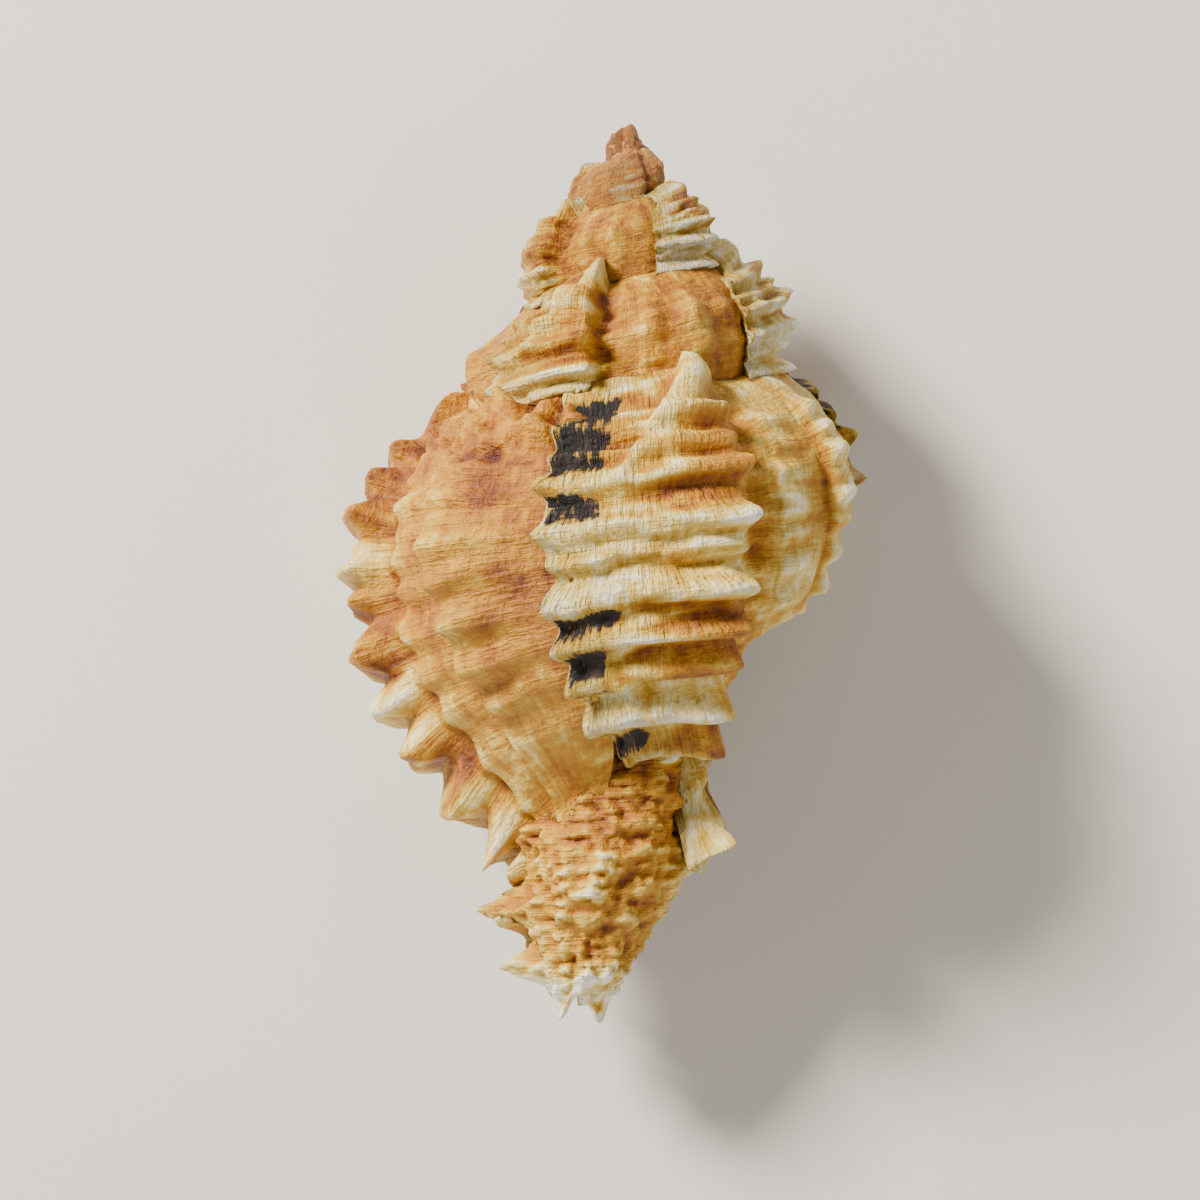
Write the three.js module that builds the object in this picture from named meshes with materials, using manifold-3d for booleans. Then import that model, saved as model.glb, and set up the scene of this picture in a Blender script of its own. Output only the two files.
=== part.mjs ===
// A murex shell lying on its aperture, as one solid. Millimetres, +Z up, spire toward +Y.
// The shell grows as a spiral: each third of a turn, roughly, it ends a stage in a thick
// spiny ridge, the varix. The solid is the union of those stages, of the siphonal canal and
// of the worn tip, less the hollow that opens at the last lip.
import * as THREE from 'three';
import { mergeVertices } from 'three/addons/utils/BufferGeometryUtils.js';
import Module from 'manifold-3d';

const wasm = await Module();
wasm.setup();

// Driving dimensions. Angles are about the coiling axis in degrees: 0 points up, 90 to +X.
const LENGTH = 88;            // worn tip to the end of the canal
const EXPANSION = 1.62;       // growth of the whorl in one full turn
const TIP_LOSS = 5;           // how far above the worn tip the spiral starts
const LAST_CREST = -85;       // where the last varix crest stands
const VARIX_STEP = 108.3;     // from one varix to the next
const LIP_AHEAD = 46;         // from a varix crest to the lip that ends its stage
const STAGE_OVERLAP = 11;     // how far a stage starts inside the one before it
const STAGES = 15;
const MID_LIFT = 4;           // how much the last half turn climbs the spire
const CANAL_LEAN = 6;         // sideways reach of an end of the canal
const OLD_CANAL_TURN = 38;    // how far the canal of the stage before is turned aside
const TIP_SLIMMING = 0.25;    // how much narrower the first whorls are
const INNER_RADIUS = 1.2;     // inner edge of a stage, buried in the core

// The whorl's outline at the last varix: distance from the tip, radius.
const OUTLINE = [
  [31, 12], [32.2, 16.4], [34.6, 20.2], [38, 23.4], [42, 25.4], [47, 26.3], [52, 25.9],
  [58, 23.8], [63, 19.8], [67, 15.2], [70, 11], [74, 8.4], [79, 6.6], [82.4, 3.4],
];

// Spiral cords: distance from the tip, half width, height of the rib, height of the spine.
const CORDS = [
  [33, 1.7, 0.5, 1.7], [36.9, 1.1, 0.3, 1.0], [39.8, 1.0, 0.3, 0.9], [42.6, 1.3, 0.5, 1.7],
  [47.1, 1.3, 0.5, 1.8], [49.9, 1.0, 0.3, 0.9], [53.8, 1.4, 0.5, 1.9], [57.5, 1.2, 0.4, 1.4],
  [61.1, 1.2, 0.4, 1.5], [65.3, 1.3, 0.5, 1.9], [69.3, 1.3, 0.6, 3.2], [73.4, 1.2, 0.5, 1.7],
  [77.6, 1.1, 0.4, 2.6],
];

// The varix underneath, which the shell rests on: longer spines, a lower node, a shorter lip.
const RESTING_STAGE = 2;
const LATE_LIP = 13;

// The spines' crest, in degrees behind the lip: on the oldest stages, on stage 1, on the others.
const CREST = { old: 37, turned: 42, usual: 47 };
const OLD_FROM = 3;           // first of the older stages, counted back from the last lip
const SIMPLE_FROM = 7;        // first of the stages too small for every row of vertices

// The knob between two varices: degrees behind the lip, distance from the tip, height.
const NODE = { behind: 83, spread: 9, along: 46, length: 11, height: 1.5 };

// How the shell rolls and pitches from its own axes to lie still, and where that puts it.
const REST_ROLL = 3.91;
const REST_PITCH = 4.13;
const REST_SHIFT = [4.62, 43.67, 20.82];

const radians = THREE.MathUtils.degToRad;
const layDown = new THREE.Matrix4().makeTranslation(...REST_SHIFT)
  .multiply(new THREE.Matrix4().makeRotationX(radians(REST_PITCH)))
  .multiply(new THREE.Matrix4().makeRotationY(radians(REST_ROLL)));
const smooth = (from, to, x) => THREE.MathUtils.smoothstep((x - from) / (to - from), 0, 1);
const bell = (x, centre, width) => Math.exp(-(((x - centre) / width) ** 2));

// Radius of the outline at a distance from the tip: a smooth curve through its points.
function outlineRadius(along) {
  const last = OUTLINE.length - 1;
  let i = 0;
  while (i < last - 1 && along > OUTLINE[i + 1][0]) i += 1;
  const slope = (j) => {
    const a = OUTLINE[Math.max(j - 1, 0)];
    const b = OUTLINE[Math.min(j + 1, last)];
    return (b[1] - a[1]) / (b[0] - a[0]);
  };
  const span = OUTLINE[i + 1][0] - OUTLINE[i][0];
  const t = (along - OUTLINE[i][0]) / span;
  const bend = (slope(i) * (1 - t) - slope(i + 1) * t) * span * t * (1 - t);
  const mix = t * t * (3 - 2 * t);
  return OUTLINE[i][1] * (1 - mix) + OUTLINE[i + 1][1] * mix + bend;
}

const lipStart = (stage) => (stage === RESTING_STAGE ? LATE_LIP : 0);

// Where the spines of a stage stand, in degrees behind its lip.
function crestPlace(stage) {
  if (stage === 1) return CREST.turned;
  return stage < OLD_FROM ? CREST.usual : CREST.old;
}

// Height of the relief, for a place so far along the outline and so many degrees behind the lip.
function relief(stage, along, behind) {
  const resting = stage === RESTING_STAGE;
  const crest = crestPlace(stage);
  const spineGain = resting ? 1.3 + 2.5 * smooth(47, 58, along) : 1;
  const nodeGain = resting ? 0.25 : 1;
  const bold = stage < OLD_FROM ? 1 : 1.6;
  const swelling = bold * smooth(crest + 8, crest + 1.5, behind) * (0.45 + 0.55 * smooth(0, 40, behind));
  const onSide = smooth(32, 38, along) * smooth(75, 66, along);
  const knob = bell(behind, NODE.behind, NODE.spread) * bell(along, NODE.along, NODE.length);
  let height = swelling * (0.4 + 1.3 * onSide) + nodeGain * NODE.height * knob;
  for (const [at, width, rib, spine] of CORDS) {
    const ridge = bell(along, at, width);
    height += ridge * (rib + spineGain * spine * bell(behind, crest, 6) + 1.2 * swelling);
  }
  return height;
}

const stageLip = (stage) => LAST_CREST - LIP_AHEAD + VARIX_STEP * stage;
const growth = (angle) => EXPANSION ** (-(angle - LAST_CREST) / 360);

// A point of a stage, from its distance along the outline, its place behind the lip and its depth.
function stagePoint(stage, along, behind, inside) {
  const angle = stageLip(stage) + behind;
  const scale = growth(angle);
  const lean = CANAL_LEAN * scale * smooth(60, 84, along);
  const leanAngle = radians(stageLip(stage) + LIP_AHEAD + (stage === 1 ? OLD_CANAL_TURN : 0));
  const climb = MID_LIFT * smooth(60, -80, angle) * smooth(78, 42, along);
  const step = 0.05;
  const radius = outlineRadius(along);
  const slope = (outlineRadius(along + step) - outlineRadius(along - step)) / (2 * step);
  const height = inside ? 0 : relief(stage, along, behind) / Math.hypot(1, slope);
  const slim = 1 - TIP_SLIMMING * smooth(0.32, 0.13, scale);
  const out = inside ? INNER_RADIUS : scale * slim * (radius + height);
  const down = (along + TIP_LOSS - height * slope) * scale - TIP_LOSS - climb;
  return new THREE.Vector3(
    out * Math.sin(radians(angle)) + lean * Math.sin(leanAngle),
    -down,
    out * Math.cos(radians(angle)) + lean * Math.cos(leanAngle),
  );
}

// Places along the outline that carry every cord crest and every groove between two cords.
function outlineSteps(fine) {
  const steps = [OUTLINE[0][0]];
  CORDS.forEach(([at], i) => {
    const before = steps[steps.length - 1];
    if (fine || i % 2 === 0) steps.push((before + at) / 2, at);
  });
  steps.push((steps[steps.length - 1] + OUTLINE.at(-1)[0]) / 2, OUTLINE.at(-1)[0]);
  return steps;
}

// Places behind the lip: close together at the lip, on the varix and on the node.
function sweepSteps(stage) {
  const first = lipStart(stage);
  const last = VARIX_STEP + lipStart(stage + 1) + STAGE_OVERLAP;
  const crest = crestPlace(stage);
  return stage < SIMPLE_FROM
    ? [first, 17, 26, crest - 7, crest, crest + 5, crest + 13, 70, 82, 94, 106, last]
    : [first, 20, crest, crest + 9, 68, 82, 98, last];
}

// A closed cylinder with its vertices moved: round the section, and along the sweep.
function sweptSolid(around, steps, place) {
  const cylinder = new THREE.CylinderGeometry(1, 1, 1, around, steps, false);
  cylinder.deleteAttribute('normal');
  cylinder.deleteAttribute('uv');
  const merged = mergeVertices(cylinder, 1e-4);
  const position = merged.attributes.position;
  for (let i = 0; i < position.count; i += 1) {
    const [x, y, z] = [position.getX(i), position.getY(i), position.getZ(i)];
    const turn = (Math.atan2(x, z) / (2 * Math.PI) + 1) % 1;
    const onWall = Math.hypot(x, z) > 0.5;
    const section = Math.round(turn * around) % around;
    const row = Math.round((0.5 - y) * steps);
    const p = place(onWall ? section : null, row).applyMatrix4(layDown);
    position.setXYZ(i, p.x, p.y, p.z);
  }
  return toSolid(merged);
}

function toSolid(geometry) {
  const vertProperties = new Float32Array(geometry.attributes.position.array);
  const triVerts = new Uint32Array(geometry.index.array);
  const solid = new wasm.Manifold(new wasm.Mesh({ numProp: 3, vertProperties, triVerts }));
  return solid.volume() > 0 ? solid : turnedInsideOut(vertProperties, triVerts);
}

function turnedInsideOut(vertProperties, triVerts) {
  const flipped = triVerts.slice();
  for (let i = 0; i < flipped.length; i += 3) {
    [flipped[i], flipped[i + 1]] = [flipped[i + 1], flipped[i]];
  }
  return new wasm.Manifold(new wasm.Mesh({ numProp: 3, vertProperties, triVerts: flipped }));
}

// One stage: a wedge of shell from its buried start to its lip.
const FINE_STAGES = 4;        // the last stages carry every cord, the older ones every second
const INNER_STEPS = [74, 60, 46, 34];   // places down the buried edge, distance from the tip
const RIM_ALONG = 48;         // the middle of a lip, distance from the tip
function stageSolid(stage) {
  const outer = outlineSteps(stage < FINE_STAGES);
  const sweep = sweepSteps(stage);
  return sweptSolid(outer.length + INNER_STEPS.length, sweep.length - 1, (section, row) => {
    const behind = sweep[row];
    if (section === null) {
      const rim = stagePoint(stage, RIM_ALONG, behind, false);
      return rim.lerp(stagePoint(stage, RIM_ALONG, behind, true), 0.5);
    }
    if (section < outer.length) return stagePoint(stage, outer[section], behind, false);
    return stagePoint(stage, INNER_STEPS[section - outer.length], behind, true);
  });
}

// The siphonal canal: a column that leans to the left and narrows to a rounded end.
const CANAL = { from: 22, to: LENGTH, around: 14, steps: 15, lean: 8.9, raise: 0.6, radius: 7.9 };
function canalCentre(down) {
  return new THREE.Vector3(-CANAL.lean * smooth(44, 96, down), -down, CANAL.raise);
}

function canalRadius(down) {
  const taper = CANAL.radius - 3.6 * smooth(73, 86, down) - 1.9 * smooth(84, 88, down);
  return taper * smooth(CANAL.from - 12, 60, down);
}

function canalSolid() {
  return sweptSolid(CANAL.around, CANAL.steps, (section, row) => {
    const down = CANAL.from + ((CANAL.to - CANAL.from) * row) / CANAL.steps;
    const centre = canalCentre(down);
    if (section === null) return centre;
    const angle = (2 * Math.PI * section) / CANAL.around;
    const radius = canalRadius(down);
    return centre.add(new THREE.Vector3(radius * Math.sin(angle), 0, radius * Math.cos(angle)));
  });
}

// The worn tip of the spire: a small dome over the first whorls.
const TIP = { radius: 1.75, stretch: 1.3, down: 2.2 };
function tipSolid() {
  const dome = new THREE.SphereGeometry(TIP.radius, 10, 8);
  dome.scale(1, TIP.stretch, 1);
  dome.translate(0, -TIP.down, 0);
  dome.deleteAttribute('normal');
  dome.deleteAttribute('uv');
  dome.applyMatrix4(layDown);
  return toSolid(mergeVertices(dome, 1e-4));
}

// The hollow: an oval tunnel that follows the spiral in from the lip and closes deep inside.
const HOLLOW = {
  mouth: -46, deep: 205, around: 16, steps: 16, radius: 17.6, along: 49.5, halfWidth: 6.9, halfLength: 12.3,
};
function hollowSolid() {
  return sweptSolid(HOLLOW.around, HOLLOW.steps, (section, row) => {
    const behind = HOLLOW.mouth + ((HOLLOW.deep - HOLLOW.mouth) * row) / HOLLOW.steps;
    const angle = stageLip(0) + behind;
    const scale = growth(angle);
    const flare = smooth(10, HOLLOW.mouth, behind);
    const closing = Math.sqrt(Math.max(1 - smooth(60, HOLLOW.deep + 12, behind), 0.02));
    const radius = scale * (HOLLOW.radius + 3.2 * flare);
    const climb = MID_LIFT * smooth(60, -80, angle) * 0.7;
    const down = (HOLLOW.along + TIP_LOSS) * scale - TIP_LOSS - climb;
    const turn = (2 * Math.PI * (section ?? 0)) / HOLLOW.around;
    const reach = section === null ? 0 : scale * closing;
    const inward = reach * 5.5 * smooth(-0.1, -1, Math.cos(turn));
    const out = radius - inward + reach * (HOLLOW.halfWidth + 2 * flare) * Math.sin(turn);
    const y = -down + reach * (HOLLOW.halfLength + 2 * flare) * Math.cos(turn);
    return new THREE.Vector3(out * Math.sin(radians(angle)), y, out * Math.cos(radians(angle)));
  });
}

// The slit along the underside of the canal, from the hollow to the end of the canal.
const SLIT = { from: 58, to: LENGTH + 2, facing: -147, width: 1.8, depth: 4.5, steps: 6 };
function slitSolid() {
  const [sin, cos] = [Math.sin(radians(SLIT.facing)), Math.cos(radians(SLIT.facing))];
  return sweptSolid(4, SLIT.steps, (section, row) => {
    const down = SLIT.from + ((SLIT.to - SLIT.from) * row) / SLIT.steps;
    const skin = canalRadius(down);
    const centre = canalCentre(down);
    const side = section === null ? 0 : [-1, -1, 1, 1][section] * SLIT.width / 2;
    const out = section === null ? skin : [skin + 4, skin - SLIT.depth, skin - SLIT.depth, skin + 4][section];
    return centre.add(new THREE.Vector3(out * sin + side * cos, 0, out * cos - side * sin));
  });
}

// What the shell has worn off against the ground: all that is below it.
const SLAB = 20;
function groundSolid() {
  const slab = new THREE.BoxGeometry(3 * LENGTH, 3 * LENGTH, SLAB);
  slab.deleteAttribute('normal');
  slab.deleteAttribute('uv');
  slab.translate(0, 0, -SLAB / 2);
  return toSolid(mergeVertices(slab, 1e-4));
}

// The outermost skin alone, so that the small gaps shut in between stages are filled.
function largest(solid) {
  return solid.decompose().reduce((a, b) => (a.volume() > b.volume() ? a : b));
}

const stages = Array.from({ length: STAGES }, (_, stage) => stageSolid(stage));
const body = [canalSolid(), tipSolid(), ...stages].reduce((whole, piece) => whole.add(piece));
const cuts = [hollowSolid(), slitSolid(), groundSolid()];
const solid = largest(cuts.reduce((whole, cut) => whole.subtract(cut), largest(body)));

const mesh = solid.getMesh();
const geometry = new THREE.BufferGeometry();
geometry.setAttribute('position', new THREE.BufferAttribute(new Float32Array(mesh.vertProperties), 3));
geometry.setIndex(new THREE.BufferAttribute(new Uint32Array(mesh.triVerts), 1));
geometry.computeVertexNormals();
const lime = new THREE.MeshStandardMaterial({ color: 0xd9a766, roughness: 0.55, metalness: 0 });
const shell = new THREE.Mesh(geometry, lime);
shell.name = 'shell';

const group = new THREE.Group();
group.add(shell);
export default group;
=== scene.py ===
# %% [markdown]
# # A murex shell
# A sea snail's shell is one body of lime that grows as a spiral. A murex stops growing about
# three times in each turn, and thickens its lip into a spiny ridge, the varix, before it goes on.
# The part's solid already has the size, the coil and the resting place. This script builds the
# same spiral again with a fine grid, so that the cords, scales and scalloped lips are real mesh.

# %% The frame
import math

import bmesh
import bpy
import numpy as np
from mathutils import Matrix, Vector, noise
from mathutils.kdtree import KDTree


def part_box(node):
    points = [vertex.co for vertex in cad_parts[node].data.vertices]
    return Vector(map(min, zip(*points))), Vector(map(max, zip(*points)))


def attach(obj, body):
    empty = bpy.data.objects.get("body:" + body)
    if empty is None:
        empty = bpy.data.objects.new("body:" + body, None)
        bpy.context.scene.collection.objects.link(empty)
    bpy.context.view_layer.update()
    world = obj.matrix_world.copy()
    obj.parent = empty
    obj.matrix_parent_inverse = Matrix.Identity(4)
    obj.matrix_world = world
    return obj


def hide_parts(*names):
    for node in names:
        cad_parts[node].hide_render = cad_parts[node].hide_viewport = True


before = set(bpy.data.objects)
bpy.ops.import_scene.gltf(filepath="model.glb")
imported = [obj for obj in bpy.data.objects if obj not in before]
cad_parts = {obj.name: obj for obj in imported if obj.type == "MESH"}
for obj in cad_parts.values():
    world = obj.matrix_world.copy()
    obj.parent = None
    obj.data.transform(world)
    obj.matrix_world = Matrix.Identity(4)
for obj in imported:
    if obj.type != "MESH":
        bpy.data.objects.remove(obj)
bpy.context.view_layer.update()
low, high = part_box("shell")
print("the frame has", len(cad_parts), "node")
print("the solid is", [round((b - a) * 1000, 1) for a, b in zip(low, high)], "mm")

# %% [markdown]
# ## The spiral
# Every part of the shell is the same outline, made larger as it goes round the axis. A place on
# it needs two numbers: how far along the outline it is, from the spire to the canal, and how many
# degrees it stands behind the lip that ended its stage. The outline is a smooth curve through a
# few points, in millimetres at the last varix.

# %% Growth
EXPANSION = 1.62      # growth of the whorl in one full turn
LAST_CREST = -85.0    # where the last varix stands about the axis, with 0 upwards
VARIX_STEP = 108.3    # degrees from one varix to the next
LIP_AHEAD = 46.0      # degrees from a varix crest to its lip


def stage_lip(stage):
    """Where the lip of a stage stands about the axis, in degrees."""
    return LAST_CREST - LIP_AHEAD + VARIX_STEP * stage


def growth(angle):
    """Size of the whorl at an angle: 1 at the last varix, less toward the tip."""
    return EXPANSION ** (-(angle - LAST_CREST) / 360)


print("one turn back the whorl is", round(growth(LAST_CREST + 360), 2), "of its last size")


# %% Soft steps
def smooth(start, end, x):
    """0 before start, 1 after end, and a soft step between them."""
    t = np.clip((x - start) / (end - start), 0, 1)
    return t * t * (3 - 2 * t)


def bell(x, centre, width):
    """A rounded peak of height 1."""
    return np.exp(-(((x - centre) / width) ** 2))


def within(start, end, edge, x):
    """1 from start to end, with soft edges."""
    return smooth(start - edge, start + edge, x) * smooth(end + edge, end - edge, x)


print("halfway through a soft step it is", smooth(0, 1, 0.5))

# %% Outline
OUTLINE = np.array([
    (31, 12), (32.2, 16.4), (34.6, 20.2), (38, 23.4), (42, 25.4), (47, 26.3), (52, 25.9),
    (58, 23.8), (63, 19.8), (67, 15.2), (70, 11), (74, 8.4), (79, 6.6), (82.4, 3.4)])


def outline_radius(along):
    """Radius of the outline at a distance from the tip, as a smooth curve through its points."""
    at, radius = OUTLINE.T
    inner = (radius[2:] - radius[:-2]) / (at[2:] - at[:-2])
    first = (radius[1] - radius[0]) / (at[1] - at[0])
    final = (radius[-1] - radius[-2]) / (at[-1] - at[-2])
    slope = np.concatenate([[first], inner, [final]])
    i = np.clip(np.searchsorted(at, along) - 1, 0, len(at) - 2)
    span = at[i + 1] - at[i]
    t = (along - at[i]) / span
    mix = t * t * (3 - 2 * t)
    bend = (slope[i] * (1 - t) - slope[i + 1] * t) * span * t * (1 - t)
    return radius[i] * (1 - mix) + radius[i + 1] * mix + bend


print("the outline is", round(outline_radius(OUTLINE[:, 0]).max(), 1), "mm from the axis at most")

# %% [markdown]
# ## The relief
# Cords run round the shell. Where a cord crosses a varix it stands up as a spine, and where it
# reaches the lip it makes a scallop. Between the cords the varix is pitted behind its crest and
# crumpled into small scales in front. All of it is one height, added square to the outline.

# %% Relief
# Each cord: distance along the outline, half width, height of the rib, height of the spine.
CORDS = [
    (33, 1.7, 0.5, 1.7), (36.9, 1.1, 0.3, 1.0), (39.8, 1.0, 0.3, 0.9), (42.6, 1.3, 0.5, 1.7),
    (45, 0.8, 0.2, 0.5), (47.1, 1.3, 0.5, 1.8), (49.9, 1.0, 0.3, 0.9), (53.8, 1.4, 0.5, 1.9),
    (57.5, 1.2, 0.4, 1.4), (61.1, 1.2, 0.4, 1.5), (65.3, 1.3, 0.5, 1.9), (69.3, 1.3, 0.6, 3.2),
    (73.4, 1.2, 0.5, 1.7), (77.6, 1.1, 0.4, 2.6)]
FIRST_WHORLS = 9      # from this stage up, the small old whorls have no varices to speak of
RESTING_STAGE = 2     # the varix underneath, with longer spines and a lower node
LATE_LIP = 13.0       # its lip is shorter by so many degrees


def lip_start(stage):
    """Degrees by which a stage falls short of its usual lip."""
    return LATE_LIP if stage == RESTING_STAGE else 0.0


def crest_place(stage):
    """Where the spines stand, in degrees behind the lip."""
    return 42.0 if stage == 1 else 47.0 if stage < 3 else 37.0


def fingers(behind, blunt_end, length):
    """Blunt at the growing side and fading toward the older side."""
    return smooth(blunt_end - 1.6, blunt_end + 0.6, behind) * smooth(
        blunt_end + length, blunt_end + 3, behind)


print(len(CORDS), "cords, with spines of up to", max(cord[3] for cord in CORDS), "mm")

# %% The swollen varix
OLDER = 3             # from this stage up, in the spire: bolder varices and knobs, shorter spines


def varix_swelling(stage, along, behind):
    """The thickening that ends a stage, 1 on its crest."""
    at_crest = crest_place(stage)
    bold = 1.0 if stage < OLDER else 1.9 if stage < FIRST_WHORLS else 0.5
    swelling = bold * smooth(at_crest + 7, at_crest + 1.5, behind)
    swelling = swelling * (0.45 + 0.55 * smooth(0, 40, behind))
    if stage == RESTING_STAGE:
        swelling = swelling * (1 - 0.7 * smooth(46, 56, along) * smooth(44, 36, behind))
    return swelling


def spine_gain(stage, along):
    """How much longer or shorter the spines of a stage are than those of the last one."""
    if stage == RESTING_STAGE:
        return (1.3 + 2.5 * smooth(47, 58, along)) * smooth(68, 59, along)
    return 1.0 if stage < OLDER else 0.6


print("the varix underneath has spines up to", round(float(spine_gain(RESTING_STAGE, 58.0)), 1),
      "times as long")


# %% Knobs between two varices
def knob_height(stage, along, behind):
    """A broad node with a plateau on the last stage, and rows of knobs in the spire."""
    gain = 0.25 if stage == RESTING_STAGE else 1.6 if stage >= OLDER else 1.0
    plateau = fingers(behind, 80, 30) * bell(along, 48.5, 6.5) * (stage == 0)
    nodes = bell(behind, 84, 9) + 0.5 * (stage >= OLDER) * bell(behind, 103, 6)
    nodes = gain * nodes * bell(along, 45, 11) + 2.3 * plateau
    knobs = bell(behind, 66, 4.5) + bell(behind, 82, 5) + bell(behind, 98, 5)
    return nodes + 1.7 * (stage >= OLDER) * knobs * bell(along, 40.5, 2.2)


print("the last node stands", round(float(knob_height(0, 48.5, 84.0)), 1), "mm proud")


# %% Where it has worn or broken away
def lost_height(stage, along, behind):
    """Millimetres that a side is lower than the spiral would have it."""
    resting = stage == RESTING_STAGE
    side_loss = smooth(48, 61, along) * ((stage == 1) * smooth(72, 104, behind) + resting
                                         * np.maximum(smooth(60, 36, behind), smooth(59, 66, along)))
    neck = bell(along, 73, 3.6) + 0.7 * smooth(68, 73, along) * smooth(16, 2, behind)
    flank = smooth(60, 65, along) * smooth(54, 68, behind) * smooth(104, 80, behind)
    return 4.6 * side_loss + (stage == 1) * (5.0 * flank + 6.0 * neck)


def leaf_fin(stage, along, behind):
    """The leaf that stands on the shoulder of every third varix, 1 on its sharp fold."""
    beside_fold = along - 41.2 + 0.5 * (behind - 18)
    fin = smooth(-0.4, 0.4, beside_fold) * smooth(8.5, 1.5, beside_fold)
    return fin * smooth(43.5, 40, along) * within(15, 41, 3, behind) * (stage % 3 == 1)


print("the old canal's neck loses", round(float(lost_height(1, 73.0, 30.0)), 1), "mm")


# %% All of the relief
def uneven(stage, index):
    """How strong this cord is on this stage, from 0.75 to 1.25 of its usual height."""
    return 1 + 0.25 * math.sin(12.9898 * (stage + 1.7) + 78.233 * (index + 0.4))


def relief(stage, along, behind, coarse, medium, folds):
    """Height in millimetres, and the shares of it that the colours and the lip follow."""
    at_crest = crest_place(stage)
    on_side = smooth(32, 38, along) * smooth(75, 66, along)
    forward = behind - lip_start(stage)
    swelling = varix_swelling(stage, along, behind)
    crest = np.where(behind > at_crest, bell(behind, at_crest, 4), bell(behind, at_crest, 10))
    wander = along + 0.8 * coarse + 0.25 * medium
    height = swelling * (0.5 + 1.5 * on_side) + knob_height(stage, along, behind)
    ridges = np.zeros_like(along)
    blunt = 1.0 * fingers(behind, 60, 16) + 1.8 * (stage < 2) * fingers(behind, 80, 22)
    blunt = blunt * smooth(66, 57, along)
    for index, (at, width, rib, spine) in enumerate(CORDS):
        strength = uneven(stage, index) * (0.4 if index == 0 and stage in (0, 1, 4) else 1)
        ridge = bell(wander, at, width)
        lobe = ridge * min(spine / 1.6, 1)
        height = height + ridge * (rib + spine_gain(stage, along) * strength * spine * crest)
        height = height + lobe * (1.35 * swelling + 0.95 * strength * blunt * on_side)
        ridges = ridges + lobe
    ridges = np.clip(ridges, 0, 1)
    fin = leaf_fin(stage, along, behind)
    notch = bell(along, 33.8, 1.7) * within(-2, 9, 2, forward) * (stage > 1)
    height = height + 1.9 * fin - lost_height(stage, along, behind) - 2.4 * notch
    pits = bell(behind, at_crest + 10, 3) * (1 - ridges) * on_side
    pits = pits + 0.5 * bell(behind, 77.4, 1.8) * ridges * on_side * (stage < 2)
    scallop = 3.2 * ridges - 1.2 + medium
    thin_lip = smooth(3.6, 2.6, forward + scallop)
    edge = bell(forward, 0.3, 1.6) * (0.3 + 0.9 * ridges ** 2)
    ramp = (medium + 0.4 * np.abs(coarse)) * (stage == 0)
    ramp = ramp * smooth(41, 36, along) * smooth(50, 60, behind)
    height = height - 1.4 * pits - 0.6 * thin_lip * on_side + edge * on_side + 2.6 * ramp
    grooves = (1 - ridges) ** 2 * on_side
    crumple = folds * smooth(at_crest + 8, at_crest - 4, behind) * smooth(4, 14, forward) * on_side
    height = height - 1.3 * swelling * grooves + 0.75 * crumple
    rough = 0.4 * coarse + 0.3 * medium * (0.12 + swelling)
    return height + rough * smooth(0, 6, forward), ridges, crest, scallop, fin, ramp, notch


one_cord, flat = np.array([CORDS[7][0]]), np.zeros(1)
spine = relief(0, one_cord, flat + crest_place(0), flat, flat, flat)[0]
print("the middle spine of the last varix stands", round(float(spine[0]), 1), "mm proud")

# %% [markdown]
# ## The colours of growth
# The mantle lays lime down in bands that follow the cords, so the colour is worked out where the
# shape is. Tone runs from 0, a burnt orange, through tan to 1, a pale cream. Black stands in
# patches just behind each lip, in the hollows between the cords.
# Part of the tone is painted light and shade: darker in pits and grooves, paler on ridges.

# %% Bands
# The tone of each stage's side, between two varices, from the last stage up the spire.
TONES = (0.46, 0.78, 0.62, 0.54, 0.48, 0.68, 0.72, 0.48, 0.62, 0.44, 0.5)
PALE_VARICES = (2, 5, 8)      # stages whose varices are cream, with little rust


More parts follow.
